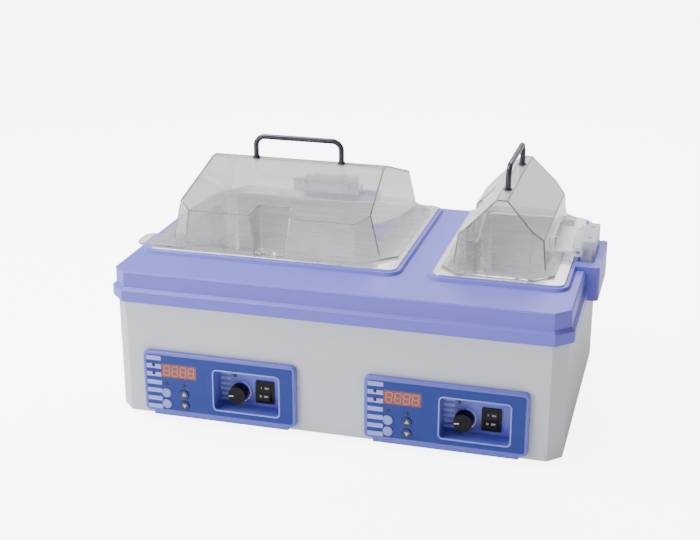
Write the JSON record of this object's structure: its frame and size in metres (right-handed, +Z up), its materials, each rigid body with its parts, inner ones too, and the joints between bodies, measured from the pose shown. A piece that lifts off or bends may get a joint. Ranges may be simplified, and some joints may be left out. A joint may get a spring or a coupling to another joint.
{
  "type": "laboratory water bath",
  "caption": "Bench water bath with a large and a small heated chamber, gabled clear lids on hinges, and a panel with display, keys, knob and rocker switch for each chamber.",
  "frame": {"origin": "on the bench, at the middle of the footprint of the whole part", "axes": "+X to the right along the length as seen from the control panels, +Y from the panels to the back, +Z up"},
  "size_m": [0.665, 0.4572, 0.3643],
  "materials": {
    "case_paint": "fine-textured pale grey powder coat",
    "pan_steel": "plain zinc-plated sheet",
    "screw_steel": "plain plated steel",
    "foot_rubber": "matte black rubber",
    "cover_plastic": "satin lavender-blue moulding",
    "inlet_black": "matte black moulding",
    "stainless": "bright polished stainless steel",
    "tray_steel": "plain stainless steel",
    "heater_rubber": "orange-brown silicone pad",
    "probe_steel": "plain steel",
    "insulation": "matte fibre felt",
    "clear_lid": "clear smoke-grey acrylic",
    "handle_black": "gloss black coating",
    "hinge_frost": "frosted translucent plastic",
    "bezel_blue": "satin dark blue moulding",
    "overlay_blue": "satin deep blue film",
    "display_red": "glossy red filter",
    "lamp_red": "glossy dark red lens",
    "button_lavender": "satin pale lavender",
    "button_dark": "satin dark blue with grey arrows",
    "knob_black": "matte black with a white pointer",
    "switch_black": "satin black",
    "board_green": "green laminate with parts",
    "thermostat_ivory": "plain ivory moulding"
  },
  "bodies": {
    "base": {"case_shell": "case_paint", "base_plate": "pan_steel", "base_screws": "screw_steel", "rubber_feet": "foot_rubber", "foot_screws": "screw_steel", "cover": "cover_plastic", "cover_screws": "screw_steel", "power_inlet": "inlet_black", "inlet_screws": "screw_steel", "hinge_block_screws": "screw_steel", "left_tank": "stainless", "left_tray": "tray_steel", "left_heater": "heater_rubber", "left_sensors": "probe_steel", "left_insulation_jacket": "insulation", "left_hinge_pin": "screw_steel", "left_hinge_block": "hinge_frost", "left_bezel": "bezel_blue", "left_overlay": "overlay_blue", "left_display_window": "display_red", "left_lamps": "lamp_red", "left_switch_housing": "switch_black", "left_control_board": "board_green", "left_thermostat": "thermostat_ivory", "right_tank": "stainless", "right_tray": "tray_steel", "right_heater": "heater_rubber", "right_sensors": "probe_steel", "right_insulation_jacket": "insulation", "right_hinge_pin": "screw_steel", "right_hinge_block": "hinge_frost", "right_bezel": "bezel_blue", "right_overlay": "overlay_blue", "right_display_window": "display_red", "right_lamps": "lamp_red", "right_switch_housing": "switch_black", "right_control_board": "board_green", "right_thermostat": "thermostat_ivory"},
    "left_lid_body": {"left_lid": "clear_lid", "left_handle": "handle_black", "left_handle_screws": "screw_steel", "left_hinge_leaf": "hinge_frost", "left_hinge_rivets": "screw_steel"},
    "right_lid_body": {"right_lid": "clear_lid", "right_handle": "handle_black", "right_handle_screws": "screw_steel", "right_hinge_leaf": "hinge_frost", "right_hinge_rivets": "screw_steel"},
    "left_knob_body": {"left_knob": "knob_black"},
    "right_knob_body": {"right_knob": "knob_black"},
    "left_rocker_body": {"left_rocker": "switch_black"},
    "right_rocker_body": {"right_rocker": "switch_black"},
    "left_upper_button_body": {"left_upper_button": "button_lavender"},
    "left_lower_button_body": {"left_lower_button": "button_lavender"},
    "left_up_button_body": {"left_up_button": "button_dark"},
    "left_down_button_body": {"left_down_button": "button_dark"},
    "right_upper_button_body": {"right_upper_button": "button_lavender"},
    "right_lower_button_body": {"right_lower_button": "button_lavender"},
    "right_up_button_body": {"right_up_button": "button_dark"},
    "right_down_button_body": {"right_down_button": "button_dark"}
  },
  "joints": [
    {"name": "left_lid_hinge", "type": "hinge", "parent": "base", "child": "left_lid_body", "pos_m": [-0.1275, 0.1946, 0.24], "axis": [-1, 0, 0], "range_deg": [0, 100]},
    {"name": "right_lid_hinge", "type": "hinge", "parent": "base", "child": "right_lid_body", "pos_m": [0.2985, 0.0266, 0.24], "axis": [0, 1, 0], "range_deg": [0, 100]},
    {"name": "left_knob_turn", "type": "hinge", "parent": "base", "child": "left_knob_body", "pos_m": [-0.147, -0.1984, 0.0475], "axis": [0, -1, 0], "range_deg": [-247, 53]},
    {"name": "right_knob_turn", "type": "hinge", "parent": "base", "child": "right_knob_body", "pos_m": [0.176, -0.1984, 0.0475], "axis": [0, -1, 0], "range_deg": [-247, 53]},
    {"name": "left_rocker_tilt", "type": "hinge", "parent": "base", "child": "left_rocker_body", "pos_m": [-0.11, -0.1979, 0.0505], "axis": [1, 0, 0], "range_deg": [0, 22]},
    {"name": "right_rocker_tilt", "type": "hinge", "parent": "base", "child": "right_rocker_body", "pos_m": [0.213, -0.1979, 0.0505], "axis": [1, 0, 0], "range_deg": [0, 22]},
    {"name": "left_upper_button_press", "type": "slide", "parent": "base", "child": "left_upper_button_body", "axis": [0, 1, 0], "range_m": [0, 0.0008], "stiffness_N_per_m": 2500, "springref_m": -0.0004},
    {"name": "left_lower_button_press", "type": "slide", "parent": "base", "child": "left_lower_button_body", "axis": [0, 1, 0], "range_m": [0, 0.0008], "stiffness_N_per_m": 2500, "springref_m": -0.0004},
    {"name": "left_up_button_press", "type": "slide", "parent": "base", "child": "left_up_button_body", "axis": [0, 1, 0], "range_m": [0, 0.0008], "stiffness_N_per_m": 2500, "springref_m": -0.0004},
    {"name": "left_down_button_press", "type": "slide", "parent": "base", "child": "left_down_button_body", "axis": [0, 1, 0], "range_m": [0, 0.0008], "stiffness_N_per_m": 2500, "springref_m": -0.0004},
    {"name": "right_upper_button_press", "type": "slide", "parent": "base", "child": "right_upper_button_body", "axis": [0, 1, 0], "range_m": [0, 0.0008], "stiffness_N_per_m": 2500, "springref_m": -0.0004},
    {"name": "right_lower_button_press", "type": "slide", "parent": "base", "child": "right_lower_button_body", "axis": [0, 1, 0], "range_m": [0, 0.0008], "stiffness_N_per_m": 2500, "springref_m": -0.0004},
    {"name": "right_up_button_press", "type": "slide", "parent": "base", "child": "right_up_button_body", "axis": [0, 1, 0], "range_m": [0, 0.0008], "stiffness_N_per_m": 2500, "springref_m": -0.0004},
    {"name": "right_down_button_press", "type": "slide", "parent": "base", "child": "right_down_button_body", "axis": [0, 1, 0], "range_m": [0, 0.0008], "stiffness_N_per_m": 2500, "springref_m": -0.0004}
  ]
}
